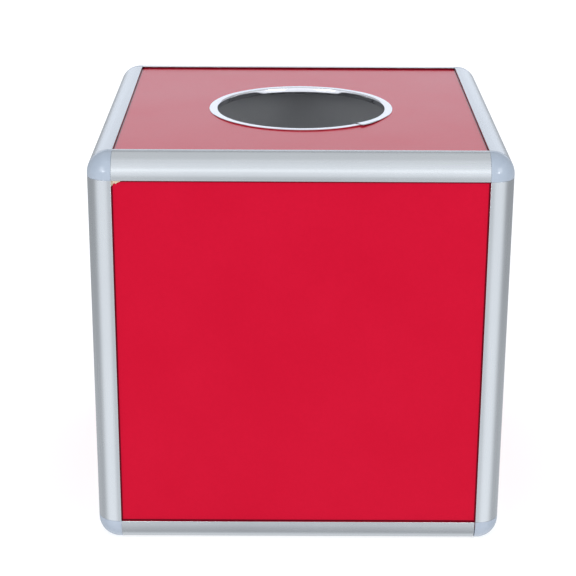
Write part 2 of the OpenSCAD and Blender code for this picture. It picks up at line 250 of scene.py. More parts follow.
def stop_plastic():
    """Dull dark grey plastic strip."""
    f = Finish("stop_plastic", (0.10, 0.10, 0.11), Roughness=0.6)
    grain = f.noise(900.0, 3.0)
    f.set("Base Color", f.mix(f.to_range(grain, 0.0, 1.0), (0.09, 0.09, 0.10), (0.125, 0.125, 0.135)))
    f.set("Normal", f.bump(grain, 0.25, 0.05 * MM))
    return f.material


ALUMINIUM = [anodised_aluminium(axis) for axis in (X, Y, Z)]
CONNECTOR = connector_plastic()
LAMINATE = red_laminate()
CORE = board_core()
LINING = grey_lining()
STRIP = bright_strip()
STOP = stop_plastic()
ZINC = plated_metal("zinc_plate", (0.52, 0.54, 0.57), (0.64, 0.66, 0.69), (0.26, 0.38))
NICKEL = plated_metal("nickel_plate", (0.66, 0.64, 0.60), (0.74, 0.72, 0.68), (0.28, 0.40))
BRASS = plated_metal("plug_brass", (0.62, 0.43, 0.17), (0.74, 0.54, 0.24), (0.22, 0.34))


# ---------------------------------------------------------------- making pieces
SHARP_FROM = math.radians(32)

# How far the sharp edges of each kind of piece are rounded.
RAIL_EDGE = 0.22 * MM
BOARD_EDGE = 0.12 * MM
MOULDED_EDGE = 0.25 * MM
STOP_EDGE = 0.3 * MM
PLATED_EDGE = 0.15 * MM
CAM_EDGE = 0.3 * MM
KEY_EDGE = 0.12 * MM


def add_piece(name, mesh, materials, body, nodes):
    """Links a finished mesh as a piece that rides on a body and stands for CAD nodes."""
    piece = bpy.data.objects.new(name, mesh)
    bpy.context.scene.collection.objects.link(piece)
    for material in materials:
        mesh.materials.append(material)
    mesh.shade_smooth()
    mesh.set_sharp_from_angle(angle=SHARP_FROM)
    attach(piece, body)
    if nodes:
        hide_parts(*nodes)
    return piece


def soften(piece, width, segments=2):
    """Rounds a piece's sharp edges a little, as deburring or moulding leaves them."""
    bevel = piece.modifiers.new("softened_edges", "BEVEL")
    bevel.width = width
    bevel.segments = segments
    bevel.limit_method = "ANGLE"
    bevel.angle_limit = math.radians(50)


def to_mesh(bm, name):
    """A plain mesh of what has been built, its faces turned outwards."""
    bmesh.ops.recalc_face_normals(bm, faces=bm.faces)
    mesh = bpy.data.meshes.new(name)
    bm.to_mesh(mesh)
    bm.free()
    return mesh


def loop_edges(bm, ring):
    return [bm.edges.get((a, b)) or bm.edges.new((a, b)) for a, b in zip(ring, ring[1:] + ring[:1])]


def wall(bm, lower, upper, material=0):
    """Joins two rings of the same length with a band of faces."""
    count = len(lower)
    for i in range(count):
        j = (i + 1) % count
        face = bm.faces.new((lower[i], lower[j], upper[j], upper[i]))
        face.material_index = material


def cap(bm, rings, material=0):
    """Fills the flat area between an outside ring and any rings inside it."""
    edges = [edge for ring in rings for edge in loop_edges(bm, ring)]
    for item in bmesh.ops.triangle_fill(bm, use_beauty=True, use_dissolve=False, edges=edges)["geom"]:
        if isinstance(item, bmesh.types.BMFace):
            item.material_index = material


def arc(centre, radius, start, end, steps):
    """Points along an arc, angles in degrees."""
    turn = [math.radians(start + (end - start) * i / steps) for i in range(steps + 1)]
    return [(centre[0] + radius * math.cos(t), centre[1] + radius * math.sin(t)) for t in turn]


def circle(centre, radius, steps=48):
    return arc(centre, radius, 0, 360, steps)[:-1]


def softened_copy(node, name, width, material, body):
    """A CAD node's own shape with its loose triangles joined and its sharp edges rounded."""
    bm = bmesh.new()
    bm.from_mesh(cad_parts[node].data)
    bmesh.ops.remove_doubles(bm, verts=bm.verts, dist=0.5e-6)
    bmesh.ops.dissolve_limit(bm, angle_limit=math.radians(0.4), verts=bm.verts, edges=bm.edges)
    mesh = bpy.data.meshes.new(name)
    bm.to_mesh(mesh)
    bm.free()
    soften(add_piece(name, mesh, [material], body, [node]), width)


# ---------------------------------------------------------------- frame
def section_outline():
    """The extrusion's outside outline: rounded skin, two lips, two slots and two flanges."""
    half = [
        (LEG, 0.0), (LEG, LIP_EDGE_T), (LEG - LEAD_IN, LIP_T), (SLOT_END, LIP_T),
        (SLOT_END, LIP_T + SLOT_W), (LEG, LIP_T + SLOT_W), (LEG, FLANGE_TOP), (SLOT_END, FLANGE_TOP),
    ]
    other = [(v, u) for u, v in reversed(half)]
    skin = arc((CORNER_R, CORNER_R), CORNER_R, 180, 270, ARC_STEPS)
    return half + [(SLOT_END, SLOT_END)] + other + skin


def chamber_outline():
    """The hollow inside the extrusion that a connector's plug goes into."""
    radius = CORNER_R - SKIN_T
    reach = math.degrees(math.asin((CORNER_R - CHAMBER) / radius))
    skin = arc((CORNER_R, CORNER_R), radius, 180 + reach, 270 - reach, ARC_STEPS)
    return [(CHAMBER, CHAMBER)] + skin


def edge_rail(node):
    """One extrusion, laid along the edge of the box where the frame has it."""
    lo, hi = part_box(node)
    size = hi - lo
    along = max(range(3), key=lambda axis: size[axis])
    across = [(along + 1) % 3, (along + 2) % 3]
    low_side = [abs(lo[axis] - BODY_LO[axis]) < MM for axis in across]
    bm = bmesh.new()

    def ring(outline, at):
        made = []
        for point in outline:
            place = Vector()
            place[along] = at
            for axis, low, value in zip(across, low_side, point):
                place[axis] = BODY_LO[axis] + value if low else BODY_HI[axis] - value
            made.append(bm.verts.new(place))
        return made

    outlines = (section_outline(), chamber_outline())
    ends = [[ring(outline, at) for outline in outlines] for at in (lo[along], hi[along])]
    for first, second in zip(*ends):
        wall(bm, first, second)
    for rings in ends:
        cap(bm, rings)
    name = node + "_extrusion"
    rail = add_piece(name, to_mesh(bm, name), [ALUMINIUM[along]], "box", [node])
    soften(rail, RAIL_EDGE)


# ---------------------------------------------------------------- boards
LAMINATE_T = 0.6 * MM
LINING_T = 0.3 * MM


def laminated_board(node, outward, cut_outs=(), chip=None, body="box"):
    """A board of red laminate, tan core and grey lining, which are materials 0, 1 and 2. Cut-outs
    are outlines in the board's own plane. The chip replaces the corner in the laminate only."""
    lo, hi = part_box(node)
    across = max(range(3), key=lambda axis: abs(outward[axis]))
    plane = [axis for axis in range(3) if axis != across]
    sign = 1 if outward[across] > 0 else -1
    face = hi[across] if sign > 0 else lo[across]
    depths = [0.0, LAMINATE_T, BOARD_T - LINING_T, BOARD_T]
    corners = [(lo[plane[0]], lo[plane[1]]), (hi[plane[0]], lo[plane[1]]),
               (hi[plane[0]], hi[plane[1]]), (lo[plane[0]], hi[plane[1]])]
    bm = bmesh.new()

    def ring(outline, depth):
        made = []
        for point in outline:
            place = Vector()
            place[across] = face - sign * depth
            place[plane[0]], place[plane[1]] = point
            made.append(bm.verts.new(place))
        return made

    whole = corners[:3] + ([chip[0], corners[3], chip[-1]] if chip else [corners[3]])
    outer = [ring(whole, depth) for depth in depths[1:]]
    inner = [[ring(outline, depth) for outline in cut_outs] for depth in depths]
    if chip:
        broken = corners[:3] + list(chip)
        top = ring(broken, 0.0)
        under = outer[0][:4] + ring(chip[1:-1], LAMINATE_T) + [outer[0][5]]
        wall(bm, top, under, 0)
        cap(bm, [under[3:] + [outer[0][4]]], 1)
    else:
        top = ring(whole, 0.0)
        wall(bm, top, outer[0], 0)
    for level, (upper, lower) in enumerate(zip(outer, outer[1:]), 1):
        wall(bm, upper, lower, level)
    for level in range(3):
        for upper, lower in zip(inner[level], inner[level + 1]):
            wall(bm, upper, lower, level)
    cap(bm, [top] + inner[0], 0)
    cap(bm, [outer[-1]] + inner[-1], 2)
    name = node + "_board"
    board = add_piece(name, to_mesh(bm, name), [LAMINATE, CORE, LINING], body, [node])
    soften(board, BOARD_EDGE, 1)


def corner_chip():
    """The break in the front board's laminate at its upper left corner, as (x, z) points.
    It runs from the board's upper edge to its left edge, just past the two lips."""
    lip_x, lip_z = BODY_LO.x + LEG, BODY_HI.z - LEG
    visible = [(9.4, 0.0), (6.6, -0.9), (5.5, -1.7), (4.5, -2.0), (3.3, -2.9), (2.4, -2.4), (1.6, -2.7),
               (1.2, -3.5), (0.6, -4.3), (-0.1, -4.9)]
    points = [(lip_x + x * MM, lip_z + z * MM) for x, z in visible]
    return [(points[0][0] + MM, FRONT_HI.z)] + points + [(FRONT_LO.x, points[-1][1] - MM)]


# ---------------------------------------------------------------- pieces made by a rule
class Rule(Nodes):
    """A Geometry Nodes tree with named sizes. What it makes comes out as one plain mesh."""

    def __init__(self, name, *sizes):
        self.tree = bpy.data.node_groups.new(name, "GeometryNodeTree")
        face = self.tree.interface
        face.new_socket("Start", in_out="INPUT", socket_type="NodeSocketGeometry")
        self.sizes = {}
        for size in sizes:
            self.sizes[size] = face.new_socket(size, in_out="INPUT", socket_type="NodeSocketFloat").identifier
        face.new_socket("Piece", in_out="OUTPUT", socket_type="NodeSocketGeometry")
        given = self.node("NodeGroupInput").outputs
        self.start = given["Start"]
        self.given = {size: Field(self, given[size]) for size in sizes}
        self.position = self.node("GeometryNodeInputPosition").outputs[0]

    def math(self, operation, *values):
        part = self.node("ShaderNodeMath", operation=operation)
        for socket, value in zip(part.inputs, values):
            if isinstance(value, Field):
                self.tree.links.new(value.socket, socket)
            else:
                socket.default_value = value
        return Field(self, part.outputs[0])

    def step(self, value, start, end):
        """Rises smoothly from 0 to 1 between start and end."""
        sockets = {"Value": value.socket, "From Min": start, "From Max": end}
        part = self.node("ShaderNodeMapRange", sockets, interpolation_type="SMOOTHSTEP")
        return Field(self, part.outputs["Result"])

    def parts(self, vector):
        made = self.node("ShaderNodeSeparateXYZ", {0: vector}).outputs
        return [Field(self, socket) for socket in made[:3]]

    def vector(self, x=0.0, y=0.0, z=0.0):
        values = [value.socket if isinstance(value, Field) else value for value in (x, y, z)]
        return self.node("ShaderNodeCombineXYZ", dict(enumerate(values))).outputs[0]

    def attribute(self, name):
        return Field(self, self.node("GeometryNodeInputNamedAttribute", {"Name": name}).outputs[0])

    def placed(self, geometry, position):
        return self.node("GeometryNodeSetPosition", {"Geometry": geometry, "Position": position}).outputs[0]

    def cylinder(self, radius, height, around, along=1, rings=1):
        """A cylinder standing on z = 0."""
        sockets = {"Vertices": around, "Side Segments": along, "Fill Segments": rings,
                   "Radius": radius.socket, "Depth": height.socket}
        made = self.node("GeometryNodeMeshCylinder", sockets, fill_type="TRIANGLE_FAN").outputs["Mesh"]
        return self.moved(made, self.vector(z=height * 0.5))

    def moved(self, geometry, by):
        return self.node("GeometryNodeTransform", {"Geometry": geometry, "Translation": by}).outputs[0]

    def boolean(self, operation, first, *others):
        part = self.node("GeometryNodeMeshBoolean", operation=operation, solver="EXACT")
        if operation == "DIFFERENCE":
            self.tree.links.new(first, part.inputs[0])
        for mesh in others if operation == "DIFFERENCE" else (first, *others):
            self.tree.links.new(mesh, part.inputs[1])
        return part.outputs[0]

    def at_places(self, shape, tilt, seed):
        """Sets the shape at every point of the start mesh, tilted, each turned its own way."""
        tilted = self.node("GeometryNodeInstanceOnPoints", {
            "Points": self.start, "Instance": shape, "Rotation": self.vector(x=tilt)}).outputs[0]
        turn = self.node("FunctionNodeRandomValue", {"Min": 0.0, "Max": math.tau, "Seed": seed},
                         data_type="FLOAT").outputs["Value"]
        sockets = {"Instances": tilted, "Rotation": self.vector(z=Field(self, turn))}
        return self.node("GeometryNodeRotateInstances", sockets).outputs[0]

    def finish(self, geometry, material):
        real = self.node("GeometryNodeRealizeInstances", {"Geometry": geometry}).outputs[0]
        surfaced = self.node("GeometryNodeSetMaterial", {"Geometry": real, "Material": material}).outputs[0]
        self.tree.links.new(surfaced, self.node("NodeGroupOutput").inputs["Piece"])

    def make(self, name, start, **sizes):
        """Runs the rule on a start mesh and returns the plain mesh that it makes."""
        carrier = bpy.data.objects.new(name, start)
        bpy.context.scene.collection.objects.link(carrier)
        modifier = carrier.modifiers.new("rule", "NODES")
        modifier.node_group = self.tree
        for size, value in sizes.items():
            modifier[self.sizes[size.replace("_", " ")]] = value
        graph = bpy.context.evaluated_depsgraph_get()
        mesh = bpy.data.meshes.new_from_object(carrier.evaluated_get(graph), depsgraph=graph)
        carrier.modifiers.clear()
        bpy.data.objects.remove(carrier)
        bm = bmesh.new()
        bm.from_mesh(mesh)
        bmesh.ops.remove_doubles(bm, verts=bm.verts, dist=1e-6)
        bmesh.ops.recalc_face_normals(bm, faces=bm.faces)
        bm.to_mesh(mesh)
        bm.free()
        mesh.name = name
        return mesh


class Field:
    """A value inside a rule, so that sums read as sums."""

    def __init__(self, rule, socket):
        self.rule, self.socket = rule, socket

    def __add__(self, other):
        return self.rule.math("ADD", self, other)

    def __sub__(self, other):
        return self.rule.math("SUBTRACT", self, other)

    def __rsub__(self, other):
        return self.rule.math("SUBTRACT", other, self)

    def __mul__(self, other):
        return self.rule.math("MULTIPLY", self, other)

    def __truediv__(self, other):
        return self.rule.math("DIVIDE", self, other)


def points_mesh(name, places):
    mesh = bpy.data.meshes.new(name)
    mesh.from_pydata(places, [], [])
    return mesh


def pan_head_screws(material):
    """Pan-head screws, their heads along +Z before the tilt, with a cross recess and a thread."""
    r = Rule("pan_head_screws", "Head Radius", "Head Height", "Shank Radius", "Shank Length", "Pitch", "Tilt")
    head_r, head_h, shank_r, length, pitch, tilt = r.given.values()
    domed = 0.42                    # share of the head's height
    thread_swing = 0.065            # half the thread's depth, as a share of the shank's radius
    tip_taper = 0.22                # how much narrower the tip is, as a share of the same radius
    root = 0.2 * MM                 # how far the shank runs up into the head
    x, y, z = r.parts(r.position)
    out = r.math("SQRT", x * x + y * y)

    head = r.cylinder(head_r, head_h, around=40, rings=9)
    share = r.math("MINIMUM", out / head_r, 1.0)
    dome = r.math("SQRT", 1.0 - share * share)
    is_top = r.math("GREATER_THAN", z, head_h * 0.5)
    crowned = z * (1.0 - is_top) + head_h * (dome * domed + (1.0 - domed)) * is_top
    head = r.placed(head, r.vector(x, y, crowned))
    arm, width, depth = head_r * 1.05, head_r * 0.26, head_h * 1.1      # of the recess
    for size in (r.vector(arm, width, depth), r.vector(width, arm, depth)):
        blade = r.node("GeometryNodeMeshCube", {"Size": size}).outputs["Mesh"]
        head = r.boolean("DIFFERENCE", head, r.moved(blade, r.vector(z=head_h)))

    shank = r.cylinder(shank_r, length, around=24, along=96)
    thread = r.math("SINE", z / pitch * math.tau + r.math("ARCTAN2", y, x))
    tip = r.step(z / shank_r, 0.0, 0.45) * tip_taper + (1.0 - tip_taper)
    grooved = (thread * thread_swing + (1.0 - thread_swing)) * tip
    shank = r.placed(shank, r.vector(x * grooved, y * grooved, z))
    shank = r.moved(shank, r.vector(z=root - length))
    r.finish(r.at_places(r.boolean("UNION", head, shank), tilt, seed=4), material)
    return r


def hex_nuts(material):
    """Hexagonal nuts standing on the surface before the tilt, both faces chamfered."""
    r = Rule("hex_nuts", "Corner Size", "Height", "Bore Radius", "Tilt")
    corners, height, bore_r, tilt = r.given.values()
    at_face, growth = 0.83, 1.6     # the chamfer: share of the radius at a face, and how fast it grows
    overshoot = 1.004               # keeps the turned shape's ends clear of the prism's
    x, y, z = r.parts(r.position)
    radius = corners * 0.5
    prism = r.cylinder(radius, height, around=6)
    turned = r.cylinder(radius * 1.02, height, around=72, along=12)
    from_end = height * 0.5 - r.math("ABSOLUTE", z - height * 0.5)
    scale = r.math("MINIMUM", from_end / radius * growth + at_face, 1.0)
    turned = r.placed(turned, r.vector(x * scale, y * scale, (z - height * 0.5) * overshoot + height * 0.5))
    bore = r.moved(r.cylinder(bore_r, height * 2.0, around=48), r.vector(z=height * -0.5))
    nut = r.boolean("DIFFERENCE", r.boolean("INTERSECT", prism, turned), bore)
    r.finish(r.at_places(nut, tilt, seed=9), material)
    return r


# ---------------------------------------------------------------- hand hole strip
TRIM_LO, TRIM_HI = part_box("hole_trim")
TRIM_X = (TRIM_LO.x + TRIM_HI.x) / 2
TRIM_Y = (TRIM_LO.y + TRIM_HI.y) / 2
TRIM_FLANGE = 6.4 * MM
TRIM_PROUD = 1.4 * MM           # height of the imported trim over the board
TRIM_R = (TRIM_HI.x - TRIM_LO.x) / 2 - TRIM_FLANGE
STRIP_T = 0.4 * MM
JOINT = math.radians(-48.0)     # place of the strip's joint, at the right-hand front
OVERLAP = math.radians(3.4)     # how far one end lies over the other
AIR = 0.04 * MM                 # between the two ends, where they overlap
SPRINGING = 2.4 * MM            # how far the upper end springs outwards
GAPE = 0.3 * MM                 # how far its tip lifts
WANDER = 0.8 * MM               # how far the rim strays from a circle
WALL_LEAN = 0.16                # slope of the inner wall at the back of the hole
FRONT_LIFT, JOINT_LIFT, WAVE_LIFT = 0.34, 0.15, 0.25    # how proud the rim stands, in millimetres


def strip_line():
    """Centre line of the strip's section in millimetres, from the flange's rim round the hole's
    edge to the underside: (distance from the edge, height over the board, and how each of them
    shifts where one end lies over the other)."""
    tuck = 0.85
    under = -BOARD_T / MM - tuck
    return [
        (6.15, 0.22, 0, 1), (5.95, 0.42, 0, 1), (5.3, 0.52, 0, 1), (4.2, 0.57, 0, 1), (2.8, 0.58, 0, 1),
        (1.5, 0.55, 0, 1), (0.86, 0.46, -0.3, 0.95), (0.50, 0.20, -0.8, 0.5), (0.36, -0.2, -1, 0),
        (0.32, -0.7, -1, 0), (0.30, -1.5, -1, 0), (0.30, -2.4, -1, 0), (0.32, -3.1, -1, 0),
        (0.45, -3.5, -0.9, -0.3), (0.75, under + 0.1, -0.6, -0.8),
        (1.5, under, 0, -1), (4.4, under + 0.4, 0, -1)]


def strip_outline():
    """Closed outline of the strip's section, as a mesh that carries its own distances."""
    line = strip_line()
    sides = ([], [])
    for i, point in enumerate(line):
        before, after = line[max(i - 1, 0)], line[min(i + 1, len(line) - 1)]
        run = Vector((after[0] - before[0], after[1] - before[1])).normalized()
        for side, sign in zip(sides, (1, -1)):
            half = sign * STRIP_T / 2
            side.append((point[0] * MM - run.y * half, point[1] * MM + run.x * half, *point[2:]))
    outline = sides[0] + sides[1][::-1]
    count = len(outline)
    mesh = bpy.data.meshes.new("strip_outline")
    mesh.from_pydata([(out, height, 0.0) for out, height, _, _ in outline],
                     [(i, (i + 1) % count) for i in range(count)], [])
    for column, name in enumerate(("out", "height", "out_shift", "height_shift")):
        layer = mesh.attributes.new(name, "FLOAT", "POINT")
        layer.data.foreach_set("value", [float(point[column]) for point in outline])
    return mesh


def hole_strip():
    """The edging strip bent round the hole. It is slightly wavy, stands proud of the board at the
    front, and its end springs out straight where it lies over the other end."""
    r = Rule("edging_strip", "Radius", "Joint", "Overlap", "Thickness", "Flange", "Top")
    radius, joint, overlap, thick, flange, top = r.given.values()
    bar = r.node("GeometryNodeCurvePrimitiveLine", {"End": (1.0, 0.0, 0.0)}).outputs[0]
    bar = r.node("GeometryNodeResampleCurve", {"Curve": bar, "Count": 420}).outputs[0]
    factor = r.node("GeometryNodeSplineParameter").outputs["Factor"]
    bar = r.node("GeometryNodeStoreNamedAttribute", {"Geometry": bar, "Name": "travel", "Value": factor},
                 data_type="FLOAT", domain="POINT").outputs[0]
    section = r.node("GeometryNodeMeshToCurve", {"Mesh": r.start}).outputs[0]
    swept = r.node("GeometryNodeCurveToMesh", {
        "Curve": bar, "Profile Curve": section, "Fill Caps": True}).outputs[0]

    out, height = r.attribute("out"), r.attribute("height")
    turn = joint - overlap + r.attribute("travel") * (overlap + math.tau)
    cosine, sine = r.math("COSINE", turn), r.math("SINE", turn)
    share = r.math("MINIMUM", r.math("MAXIMUM", out / flange, 0.0), 1.0)
    wave = r.node("ShaderNodeTexNoise", {
        "Vector": r.vector(cosine * 2.4, sine * 2.4), "Scale": 1.0, "Detail": 2.0})
    wave = Field(r, wave.outputs[0]) - 0.5

    # Each of these is 1 where its name holds and falls off smoothly. Angles count from the joint.
    over = 1.0 - r.step(turn - joint, math.radians(3), math.radians(20))
    near_joint = r.step(turn - joint, math.radians(330), math.radians(352))
    sprung = r.step(turn - joint, math.radians(22), math.radians(-6))
    at_tip = 1.0 - r.step(turn - joint + overlap, 0.0, math.radians(7))
    on_top = r.step(height, 0.0, STRIP_T)
    front = r.step(sine * -1.0, 0.25, 0.75)
    at_back = r.step(sine + wave * 0.5, 0.78, 0.93)

    shift = over * (thick + AIR) + at_tip * GAPE
    lean = r.math("MINIMUM", height, 0.0) * at_back * WALL_LEAN
    shifted = r.attribute("out_shift") * shift
    reach = radius + out + lean + shifted + sprung * SPRINGING * share + wave * share * WANDER
    lift = front * FRONT_LIFT + near_joint * JOINT_LIFT + wave * WAVE_LIFT
    proud = lift * share * on_top * MM * (1.0 - over)
    level = top + height + r.attribute("height_shift") * shift + proud
    bent = r.placed(swept, r.vector(reach * cosine + TRIM_X, reach * sine + TRIM_Y, level))
    r.finish(bent, STRIP)
    mesh = r.make("hand_hole_strip", strip_outline(), Radius=TRIM_R, Joint=JOINT, Overlap=OVERLAP,
                  Thickness=STRIP_T, Flange=TRIM_FLANGE, Top=TRIM_HI.z - TRIM_PROUD)
    add_piece("hand_hole_strip", mesh, [], "box", ["hole_trim"])


# ---------------------------------------------------------------- hinge hardware, lock and key
SCREW_HEAD_H = 1.8 * MM
CAM_SCREW_HEAD_H = 2.4 * MM
HINGE_SHANK_R, HINGE_PITCH = 1.45 * MM, 0.5 * MM
CAM_SHANK_R, CAM_PITCH = 1.95 * MM, 0.7 * MM
NUT_BORE_R = 1.5 * MM
SCREW_HOLE_R = 1.6 * MM
LOCK_LO, LOCK_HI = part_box("lock_body")
LOCK_X = (LOCK_LO.x + LOCK_HI.x) / 2
LOCK_Z = (LOCK_LO.z + LOCK_HI.z) / 2
LOCK_HEAD_H = 3.0 * MM
LOCK_BODY_R = 6.0 * MM
LOCK_NUT_PLAY = 0.05 * MM
LOCK_HOLE_R = 6.15 * MM
OUTWARD, INWARD = math.radians(-90), math.radians(90)     # tilts from +Z to the back and to the inside


def screw_places(group):
    """Places of a group's four screws as (x, z): one column, two pairs of heights."""
    lo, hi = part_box(group)
    radius = (hi.x - lo.x) / 2
    hinge_lo, hinge_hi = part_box("upper_hinge_fixed_leaf")
    pitch = 2 * (hi.z - radius - (hinge_lo.z + hinge_hi.z) / 2)
    heights = [hi.z - radius, hi.z - radius - pitch, lo.z + radius + pitch, lo.z + radius]
    return [((lo.x + hi.x) / 2, height) for height in heights]


def hardware():
    """The hinge screws and nuts on each body, the lock's nut and the screw that holds its cam."""
    screws, nuts = pan_head_screws(ZINC), hex_nuts(ZINC)
    for side, body in (("fixed", "box"), ("door", "door")):
        group = f"{side}_hinge_screws"
        lo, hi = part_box(group)
        places = points_mesh(group, [(x, hi.y - SCREW_HEAD_H, z) for x, z in screw_places(group)])
        mesh = screws.make(group + "_pan_head", places, Head_Radius=(hi.x - lo.x) / 2,
                           Head_Height=SCREW_HEAD_H, Shank_Radius=HINGE_SHANK_R,
                           Shank_Length=hi.y - SCREW_HEAD_H - lo.y, Pitch=HINGE_PITCH, Tilt=OUTWARD)
        add_piece(group + "_pan_head", mesh, [], body, [group])
        group = f"{side}_hinge_nuts"
        lo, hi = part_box(group)
        places = points_mesh(group, [(x, hi.y, z) for x, z in screw_places(f"{side}_hinge_screws")])
        mesh = nuts.make(group + "_hex", places, Corner_Size=hi.x - lo.x, Height=hi.y - lo.y,
                         Bore_Radius=NUT_BORE_R, Tilt=INWARD)
        add_piece(group + "_hex", mesh, [], body, [group])
    lo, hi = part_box("lock_nut")
    place = points_mesh("lock_nut", [(LOCK_X, hi.y, LOCK_Z)])
    mesh = nuts.make("lock_nut_hex", place, Corner_Size=hi.x - lo.x, Height=hi.y - lo.y,
                     Bore_Radius=LOCK_BODY_R + LOCK_NUT_PLAY, Tilt=INWARD)
    add_piece("lock_nut_hex", mesh, [], "door", ["lock_nut"])
    lo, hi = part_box("cam_screw")
    head_y = lo.y + CAM_SCREW_HEAD_H
    place = points_mesh("cam_screw", [(LOCK_X, head_y, LOCK_Z)])
    mesh = screws.make("cam_screw_pan_head", place, Head_Radius=(hi.x - lo.x) / 2,
                       Head_Height=CAM_SCREW_HEAD_H, Shank_Radius=CAM_SHANK_R,
                       Shank_Length=hi.y - head_y, Pitch=CAM_PITCH, Tilt=INWARD)
    add_piece("cam_screw_pan_head", mesh, [], "lock", ["cam_screw"])


def lock_barrel():
    """The lock's body, turned: a rounded head with a sunk face, and a threaded barrel."""
    bore, thread_depth, pitch = 4.3 * MM, 0.35 * MM, 1.0 * MM
    chamfer, rounding, sink = 0.3 * MM, 1.2 * MM, 0.45 * MM
    front, back = LOCK_HI.y, LOCK_LO.y
    seat = front - LOCK_HEAD_H
    head_r = (LOCK_HI.x - LOCK_LO.x) / 2
    root_r = LOCK_BODY_R - thread_depth
    outline = [(bore, back), (root_r, back)]
    turns = int((seat - back) / pitch) - 1
    for i in range(turns):
        start = back + (i + 0.5) * pitch
        outline += [(root_r, start), (LOCK_BODY_R, start + pitch / 2)]
    outline += [(root_r, seat - pitch / 2), (LOCK_BODY_R, seat - pitch / 4), (LOCK_BODY_R, seat)]
    outline += [(head_r - chamfer, seat), (head_r, seat + chamfer)]
    outline += arc((head_r - rounding, front - rounding), rounding, 0, 90, 6)
    outline += [(6.1 * MM, front), (5.6 * MM, front - sink), (bore + 0.5 * MM, front - sink),
                (bore + 0.2 * MM, front - 0.55 * MM), (bore, front - 0.9 * MM)]
    bm = bmesh.new()
    rings = []
    for radius, y in outline:
        rings.append([bm.verts.new((LOCK_X + u, y, LOCK_Z + v)) for u, v in circle((0, 0), radius, 72)])
    for before, after in zip(rings, rings[1:] + rings[:1]):
        wall(bm, before, after)
    add_piece("lock_barrel", to_mesh(bm, "lock_barrel"), [NICKEL], "door", ["lock_body"])


def door_key():
    """A flat key: round bow with a sunk panel and a hole, a shoulder, a grooved blade with cuts."""
    lo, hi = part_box("key")
    bow_r = (hi.z - lo.z) / 2
    bow_y = hi.y - bow_r
    tip = lo.y
    half = 3.1 * MM                 # half the blade's width
    sunk = 0.35 * MM                # depth of the groove and of the bow's panel
    neck = bow_y - math.sqrt(bow_r ** 2 - half ** 2)
    # Each cut is (distance from the tip, height) in millimetres.
    cuts = [(1.0, -2.0), (2.2, -1.2), (3.0, -2.4), (4.2, -1.0), (5.2, -2.6), (6.4, -1.6), (7.4, -3.1)]
    spread = math.degrees(math.asin(half / bow_r))
    outline = [(tip, -1.2 * MM)] + [(tip + y * MM, z * MM) for y, z in cuts]
    outline += arc((bow_y, 0.0), bow_r, -180 + spread, 180 - spread, 44)
    outline += [(neck - 1.0 * MM, half), (tip + 1.4 * MM, half), (tip, 1.6 * MM)]
    groove = [(tip + 0.8 * MM, -0.1 * MM), (neck - 0.6 * MM, -0.1 * MM), (neck - 0.2 * MM, 0.5 * MM),
              (neck - 0.6 * MM, 1.1 * MM), (tip + 0.8 * MM, 1.1 * MM)]
    eye = circle((bow_y + bow_r / 2, 0.0), 3.0 * MM, 32)
    panel = circle((bow_y - 2.6 * MM, 0.0), 4.4 * MM, 40)
    bm = bmesh.new()

    def ring(points, x):
        return [bm.verts.new((x, y, LOCK_Z + z)) for y, z in points]

    faces = [[ring(points, x) for points in (outline, eye)] for x in (lo.x, hi.x)]
    for first, second in zip(*faces):
        wall(bm, first, second)
    for (edge, opening), x, inner in zip(faces, (lo.x, hi.x), (lo.x + sunk, hi.x - sunk)):
        rims = []
        for points in (groove, panel):
            rim, bottom = ring(points, x), ring(points, inner)
            wall(bm, rim, bottom)
            cap(bm, [bottom])
            rims.append(rim)
        cap(bm, [edge, opening] + rims)
    key = add_piece("door_key", to_mesh(bm, "door_key"), [NICKEL], "key", ["key"])
    soften(key, KEY_EDGE)


# ---------------------------------------------------------------- build
HOLE_PLAY = 1.6 * MM            # between the cut edge of the hand hole and the strip's edge
DOOR_LO, DOOR_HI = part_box("door_panel")
DOOR_GAP = 1.5 * MM


def all_boards():
    """The six boards and the door, with the openings that they need."""
    hand_hole = circle((TRIM_X, TRIM_Y), TRIM_R + HOLE_PLAY, 128)
    left, right = DOOR_LO.x - DOOR_GAP, DOOR_HI.x + DOOR_GAP
    bottom, top = DOOR_LO.z - DOOR_GAP, DOOR_HI.z + DOOR_GAP
    doorway = [(left, bottom), (right, bottom), (right, top), (left, top)]
    fixed_holes = [circle(place, SCREW_HOLE_R, 24) for place in screw_places("fixed_hinge_screws")]
    door_holes = [circle(place, SCREW_HOLE_R, 24) for place in screw_places("door_hinge_screws")]
    lock_hole = circle((LOCK_X, LOCK_Z), LOCK_HOLE_R)
    laminated_board("top_panel", (0, 0, 1), [hand_hole])
    laminated_board("bottom_panel", (0, 0, -1))
    laminated_board("front_panel", (0, -1, 0), chip=corner_chip())
    laminated_board("left_panel", (-1, 0, 0))
    laminated_board("right_panel", (1, 0, 0))
    laminated_board("back_panel", (0, 1, 0), [doorway] + fixed_holes)
    laminated_board("door_panel", (0, 1, 0), door_holes + [lock_hole], body="door")


